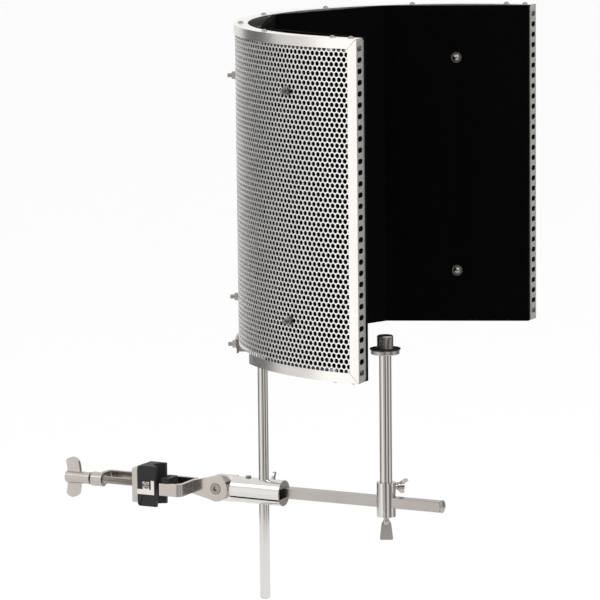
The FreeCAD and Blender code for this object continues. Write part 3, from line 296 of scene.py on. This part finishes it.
def merged_copy(node):
    """The CAD node's mesh as joined flat faces, in a bmesh."""
    work = bmesh.new()
    work.from_mesh(nodes[node].data)
    bmesh.ops.remove_doubles(work, verts=work.verts, dist=0.002 * MM)
    bmesh.ops.dissolve_limit(work, angle_limit=math.radians(0.2), verts=work.verts, edges=work.edges)
    return work


def soften(node):
    """The CAD node's shape with its edges broken, as a machined or cast piece has them."""
    slot_name = slot_of[node]
    piece = new_object(node + "_finished", mesh_from(merged_copy(node), node + "_finished"))
    smooth_by_angle(piece.data, BEVEL_ANGLE)
    bevel = piece.modifiers.new("edges", "BEVEL")
    bevel.harden_normals = True
    bevel.width = BEVEL
    bevel.segments = 2
    bevel.limit_method = "ANGLE"
    bevel.angle_limit = math.radians(BEVEL_ANGLE)
    bevel.use_clamp_overlap = True
    evaluated_mesh(piece)
    return settle(piece, slot_name, node)


# ------------------------------------------------------------------ perforated sheet
def hexagon_cell():
    """One hexagon of sheet with a round hole: twelve quads."""
    work = bmesh.new()
    half = HOLE_PITCH / 2
    outer = []
    inner = []
    for i in range(12):
        angle = math.radians(30 * i)
        reach = half if i % 2 == 0 else half / math.cos(math.radians(30))
        outer.append(work.verts.new((reach * math.cos(angle), reach * math.sin(angle), 0)))
        inner.append(work.verts.new((HOLE_RADIUS * math.cos(angle), HOLE_RADIUS * math.sin(angle), 0)))
    for i in range(12):
        j = (i + 1) % 12
        work.faces.new((inner[i], outer[i], outer[j], inner[j]))
    return new_object("hole_cell", mesh_from(work, "hole_cell"))


def socket_id(tree, name):
    return next(item.identifier for item in tree.interface.items_tree if item.name == name)


def perforation_tree(cell, material):
    """Rows of cells, every second row set back by half a pitch, as one flat sheet."""
    tree = bpy.data.node_groups.new("perforation", "GeometryNodeTree")
    face = tree.interface
    for name, kind in (("Columns", "NodeSocketInt"), ("Rows", "NodeSocketInt"), ("Pitch", "NodeSocketFloat"),
                       ("Row pitch", "NodeSocketFloat")):
        face.new_socket(name, in_out="INPUT", socket_type=kind)
    face.new_socket("Geometry", in_out="OUTPUT", socket_type="NodeSocketGeometry")
    add = tree.nodes.new
    link = tree.links.new
    given = add("NodeGroupInput")
    result = add("NodeGroupOutput")
    total = add("ShaderNodeMath")
    total.operation = "MULTIPLY"
    link(given.outputs["Columns"], total.inputs[0])
    link(given.outputs["Rows"], total.inputs[1])
    points = add("GeometryNodePoints")
    link(total.outputs[0], points.inputs["Count"])
    index = add("GeometryNodeInputIndex")

    def step(operation, first, second):
        made = add("ShaderNodeMath")
        made.operation = operation
        for socket, value in zip(made.inputs, (first, second)):
            if hasattr(value, "is_linked"):
                link(value, socket)
            elif value is not None:
                socket.default_value = value
        return made.outputs[0]

    row = step("FLOOR", step("DIVIDE", index.outputs[0], given.outputs["Columns"]), None)
    column = step("SUBTRACT", index.outputs[0], step("MULTIPLY", row, given.outputs["Columns"]))
    set_back = step("MULTIPLY", step("MODULO", row, 2.0), 0.5)
    place = add("ShaderNodeCombineXYZ")
    link(step("MULTIPLY", step("ADD", column, set_back), given.outputs["Pitch"]), place.inputs[0])
    link(step("MULTIPLY", row, given.outputs["Row pitch"]), place.inputs[1])
    link(place.outputs[0], points.inputs["Position"])
    source = add("GeometryNodeObjectInfo")
    source.inputs["Object"].default_value = cell
    scatter = add("GeometryNodeInstanceOnPoints")
    link(points.outputs[0], scatter.inputs["Points"])
    link(source.outputs["Geometry"], scatter.inputs["Instance"])
    real = add("GeometryNodeRealizeInstances")
    link(scatter.outputs[0], real.inputs[0])
    weld = add("GeometryNodeMergeByDistance")
    link(real.outputs[0], weld.inputs[0])
    weld.inputs["Distance"].default_value = 0.05 * MM
    painted = add("GeometryNodeSetMaterial")
    painted.inputs["Material"].default_value = material
    link(weld.outputs[0], painted.inputs[0])
    link(painted.outputs[0], result.inputs[0])
    return tree


def flat_sheet(width, height, tree):
    """Flat perforated sheet, a little larger than asked on every side."""
    flat = new_object("flat_sheet", bpy.data.meshes.new("flat_sheet"))
    modifier = flat.modifiers.new("perforation", "NODES")
    modifier.node_group = tree
    modifier[socket_id(tree, "Columns")] = int(width / HOLE_PITCH) + 3
    modifier[socket_id(tree, "Rows")] = int(height / ROW_PITCH) + 3
    modifier[socket_id(tree, "Pitch")] = HOLE_PITCH
    modifier[socket_id(tree, "Row pitch")] = ROW_PITCH
    evaluated_mesh(flat)
    flat.data.transform(Matrix.Translation((-HOLE_PITCH, -ROW_PITCH, 0)))
    return flat


def cut_to(work, axis, low, high):
    """Keep only what lies between two places on an axis."""
    for place, side in ((low, -1), (high, 1)):
        normal = Vector((0, 0, 0))
        normal[axis] = side
        point = Vector((0, 0, 0))
        point[axis] = place
        everything = work.verts[:] + work.edges[:] + work.faces[:]
        bmesh.ops.bisect_plane(work, geom=everything, dist=1e-7, plane_co=point, plane_no=normal, clear_outer=True)


def perforated_sheet():
    """The outer sheet in sectors, each cut flat, bent to the arc and given its thickness."""
    low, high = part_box("outer_sheet")
    centre = Vector((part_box("end_strip_near")[1].x, (low.y + high.y) / 2, 0))
    radius = (high.y - low.y) / 2
    height = high.z - low.z
    length = math.pi * radius
    cell = hexagon_cell()
    tree = perforation_tree(cell, materials["perforated_sheet"])
    flat = flat_sheet(length, height, tree)
    gap = math.radians(REAR_GAP_DEGREES) * radius
    rear_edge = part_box("end_strip_near")[0].z + REAR_EDGE - low.z
    end_margin = centre.x - high.x
    for sector in range(SHEET_SECTORS):
        start, end = length * sector / SHEET_SECTORS, length * (sector + 1) / SHEET_SECTORS
        start, end = max(start, end_margin), min(end, length - end_margin)
        parts = []
        for a, b, bottom in ((start, min(end, length / 2 - gap), 0.0),
                             (max(start, length / 2 - gap), min(end, length / 2 + gap), rear_edge),
                             (max(start, length / 2 + gap), end, 0.0)):
            if b - a > 1e-5:
                work = bmesh.new()
                work.from_mesh(flat.data)
                cut_to(work, 0, a, b)
                cut_to(work, 1, bottom, height)
                parts.append(work)
        joined = bmesh.new()
        for work in parts:
            scrap = mesh_from(work, "scrap")
            joined.from_mesh(scrap)
        bmesh.ops.remove_doubles(joined, verts=joined.verts, dist=0.02 * MM)
        for vert in joined.verts:
            angle = -math.pi / 2 + vert.co.x / radius
            vert.co = Vector((centre.x - radius * math.cos(angle), centre.y + radius * math.sin(angle),
                              low.z + vert.co.y))
        bmesh.ops.recalc_face_normals(joined, faces=joined.faces)
        joined.faces.ensure_lookup_table()
        middle = joined.faces[0].calc_center_median()
        outwards = Vector((middle.x - centre.x, middle.y - centre.y, 0))
        if outwards.dot(joined.faces[0].normal) < 0:
            bmesh.ops.reverse_faces(joined, faces=joined.faces)
        piece = new_object(f"perforated_sheet_{sector + 1}", mesh_from(joined, "perforated_sheet"))
        wall = piece.modifiers.new("wall", "SOLIDIFY")
        wall.thickness = SHEET_WALL
        wall.offset = -1
        evaluated_mesh(piece)
        smooth_by_angle(piece.data, 40)
        settle(piece, "perforated_sheet", "outer_sheet")
    for spare in (flat, cell):
        bpy.data.objects.remove(spare)


# ------------------------------------------------------------------ threads
def thread(name, centre, direction, length, outer, pitch, chamfer=0.0, bore=0.0, depth=0.6):
    """Shaft with a helical thread, closed at both ends; a bore leaves the far end hollow."""
    work = bmesh.new()
    steps = max(6, int(length / pitch * 8))
    groove = depth * pitch
    rings = []
    for i in range(steps + 1):
        along = length * i / steps
        ring_verts = []
        for k in range(THREAD_TURN_SIDES):
            turn = k / THREAD_TURN_SIDES
            phase = (along / pitch - turn) % 1.0
            radius = outer - groove * (1 - abs(2 * phase - 1)) ** 0.8
            end_gap = min(along, length - along)
            if end_gap < chamfer:
                radius = min(radius, outer - (chamfer - end_gap))
            angle = 2 * math.pi * turn
            ring_verts.append(work.verts.new((radius * math.cos(angle), radius * math.sin(angle), along)))
        rings.append(ring_verts)
    if bore:
        for along in (length, length - 3 * bore):
            rings.append([work.verts.new((bore * math.cos(2 * math.pi * k / THREAD_TURN_SIDES),
                                          bore * math.sin(2 * math.pi * k / THREAD_TURN_SIDES), along))
                          for k in range(THREAD_TURN_SIDES)])
    for lower, upper in zip(rings, rings[1:]):
        for k in range(THREAD_TURN_SIDES):
            j = (k + 1) % THREAD_TURN_SIDES
            work.faces.new((lower[k], lower[j], upper[j], upper[k]))
    work.faces.new(list(reversed(rings[0])))
    work.faces.new(rings[-1])
    mesh = mesh_from(work, name)
    turn = Vector((0, 0, 1)).rotation_difference(direction).to_matrix().to_4x4()
    mesh.transform(Matrix.Translation(centre) @ turn)
    piece = new_object(name, mesh)
    smooth_by_angle(mesh, 50)
    return piece


def mic_stud():
    low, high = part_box("mic_thread")
    radius = (high.x - low.x) / 2
    base = Vector(((low.x + high.x) / 2, (low.y + high.y) / 2, low.z))
    piece = thread("mic_stud", base, Vector((0, 0, 1)), high.z - low.z, radius, STUD_PITCH,
                   STUD_CHAMFER, bore=radius / 2)
    settle(piece, "dark_stud", "mic_thread")


def clamp_thread():
    """Threaded clamp screw with its plain journal in the jaw."""
    low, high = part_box("clamp_screw")
    jaw_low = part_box("jaw_plate")[0].x
    radius = (high.z - low.z) / 2
    length = jaw_low - JOURNAL_GAP - low.x
    centre = Vector((low.x, (low.y + high.y) / 2, (low.z + high.z) / 2))
    piece = thread("clamp_screw_thread", centre, Vector((1, 0, 0)), length, radius,
                   SCREW_PITCH, SCREW_CHAMFER)
    journal = thread("journal", centre + Vector((length, 0, 0)), Vector((1, 0, 0)), high.x - low.x - length,
                     radius * SCREW_JOURNAL, JOURNAL_STEP, depth=0.0)
    join([piece, journal])
    settle(piece, "screw_steel", "clamp_screw")


def join(pieces):
    """Join meshes into the first."""
    work = bmesh.new()
    for piece in pieces:
        work.from_mesh(piece.data)
    work.to_mesh(pieces[0].data)
    work.free()
    for spare in pieces[1:]:
        bpy.data.objects.remove(spare)
    return pieces[0]


# ------------------------------------------------------------------ wool panels
def wool_panel(node):
    """Felt panel: its flat faces and mitres kept, with soft edges and a slightly uneven surface."""
    piece = new_object(node + "_felt", mesh_from(merged_copy(node), node + "_felt"))
    bevel = piece.modifiers.new("soft_edge", "BEVEL")
    bevel.width = WOOL_EDGE
    bevel.segments = 3
    bevel.limit_method = "ANGLE"
    bevel.angle_limit = math.radians(WOOL_ANGLE)
    evaluated_mesh(piece)
    smooth_by_angle(piece.data, 60)
    settle(piece, "black_wool", node)


# ------------------------------------------------------------------ stage
def area_light(name, place, aim, size, power):
    data = bpy.data.lights.new(name, "AREA")
    data.shape = "RECTANGLE"
    data.size, data.size_y = size
    data.energy = power
    light = new_object(name, data)
    light.location = place
    light.rotation_euler = (Vector(aim) - Vector(place)).to_track_quat("-Z", "Y").to_euler()


def reflection_tent(middle, toward, floor_z):
    """Standing surround of light and dark bands that only polished metal sees."""
    bpy.ops.mesh.primitive_cylinder_add(vertices=128, radius=TENT_RADIUS, depth=TENT_TOP - floor_z,
                                        end_fill_type="NOTHING")
    tent = bpy.context.object
    tent.name = "reflection_tent"
    tent.location = (middle.x, middle.y, (TENT_TOP + floor_z) / 2)
    tent.rotation_euler = (0, 0, math.atan2(toward.y, toward.x))
    paint = Paint("tent", Base_Color=grey(0.0), Roughness=1.0, Specular_IOR_Level=0.0, Emission_Strength=1.0)
    where = paint.node("ShaderNodeTexCoord", {}, [], "Object")
    along = paint.node("ShaderNodeSeparateXYZ", {}, [where], "X")
    across = paint.node("ShaderNodeSeparateXYZ", {}, [where], "Y")
    azimuth = across.math("ARCTAN2", along)
    stops = [((degrees + 180) / 360, grey(level, 0.03)) for degrees, level in TENT_BANDS]
    paint.set(Emission_Color=paint.node("ShaderNodeValToRGB", {"stops": stops}, [azimuth * (0.5 / math.pi) + 0.5]))
    tent.data.materials.append(paint.material)
    tent.visible_camera = False
    tent.visible_diffuse = False
    tent.visible_shadow = False


def reflection_strip(middle, toward, floor_z):
    """Dark card flat on the floor, seen only in the undersides of polished metal."""
    bpy.ops.mesh.primitive_plane_add(size=1.0)
    card = bpy.context.object
    card.name = "reflection_strip"
    ahead = Vector((toward.x, toward.y, 0)).normalized()
    card.scale = (STRIP_DEPTH, STRIP_WIDTH, 1)
    card.location = Vector((middle.x, middle.y, floor_z + CARD_LIFT)) + ahead * (STRIP_NEAR + STRIP_DEPTH / 2)
    card.rotation_euler = (0, 0, math.atan2(ahead.y, ahead.x))
    paint = Paint("strip", Base_Color=grey(0.0), Roughness=1.0, Specular_IOR_Level=0.0)
    card.data.materials.append(paint.material)
    card.visible_camera = False
    card.visible_diffuse = False
    card.visible_shadow = False


def stage():
    """Pale floor, even sky, two soft lights and what the polished metal reflects."""
    low, high = cad_bounds
    middle = (Vector(low) + Vector(high)) / 2
    floor_z = low[2] - FLOOR_DROP
    bpy.ops.mesh.primitive_plane_add(size=FLOOR_SIZE, location=(middle.x, middle.y, floor_z))
    floor = bpy.context.object
    floor.name = "floor"
    paint = Paint("floor", Base_Color=grey(0.93), Roughness=0.9, Specular_IOR_Level=0.1)
    floor.data.materials.append(paint.material)
    world = bpy.data.worlds.new("studio")
    bpy.context.scene.world = world
    world.use_nodes = True
    world.node_tree.nodes["Background"].inputs[0].default_value = grey(1.0)
    world.node_tree.nodes["Background"].inputs[1].default_value = SKY_STRENGTH
    toward = -view_direction()
    side = Vector((toward.y, -toward.x, 0)).normalized()
    up = Vector((0, 0, 1))
    reflection_tent(middle, toward, floor_z)
    reflection_strip(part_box("coupling")[0], toward, floor_z)
    area_light("key", middle + toward * 1.6 - side * 1.6 + up * 2.0, middle, (1.2, 1.2), 14)
    area_light("fill", middle + toward * 1.1 + side * 1.8 + up * 1.8, middle, (1.0, 1.0), 6)


def view_direction():
    flat = math.cos(VIEW_PITCH)
    return Vector((flat * math.cos(VIEW_YAW), flat * math.sin(VIEW_YAW), -math.sin(VIEW_PITCH)))


def camera():
    """Long lens, looking a little down at the near wing's outside and the far wing's inside."""
    forward = view_direction()
    right = Vector((math.sin(VIEW_YAW), -math.cos(VIEW_YAW), 0))
    up = right.cross(forward)
    rolled_right = right * math.cos(VIEW_ROLL) + up * math.sin(VIEW_ROLL)
    rolled_up = up * math.cos(VIEW_ROLL) - right * math.sin(VIEW_ROLL)
    low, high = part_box("outer_sheet")
    shell_middle = Vector((high.x, (low.y + high.y) / 2, (low.z + high.z) / 2))
    aim = shell_middle - rolled_right * AIM_RIGHT - rolled_up * AIM_UP
    data = bpy.data.cameras.new("camera")
    data.lens = VIEW_LENS
    data.sensor_width = SENSOR
    data.clip_end = 100
    made = new_object("camera", data)
    axes = Matrix((rolled_right, rolled_up, -forward)).transposed().to_4x4()
    made.matrix_world = Matrix.Translation(aim - forward * VIEW_DISTANCE) @ axes
    bpy.context.scene.camera = made


# ------------------------------------------------------------------ making
materials = make_materials()
slot_of = {s["node"]: s["material_slot"] for s in frame["record"]["subparts"]}

camera()
stage()
for node_name, node_object in nodes.items():
    node_object.data.materials.clear()
    node_object.data.materials.append(materials[slot_of[node_name]])
    smooth_by_angle(node_object.data, 30)
perforated_sheet()
for node_name in sorted(n for n in nodes if n.startswith("wool_panel_")):
    wool_panel(node_name)
for node_name in SOFTENED:
    soften(node_name)
mic_stud()
clamp_thread()
bpy.context.scene.view_settings.view_transform = "Standard"
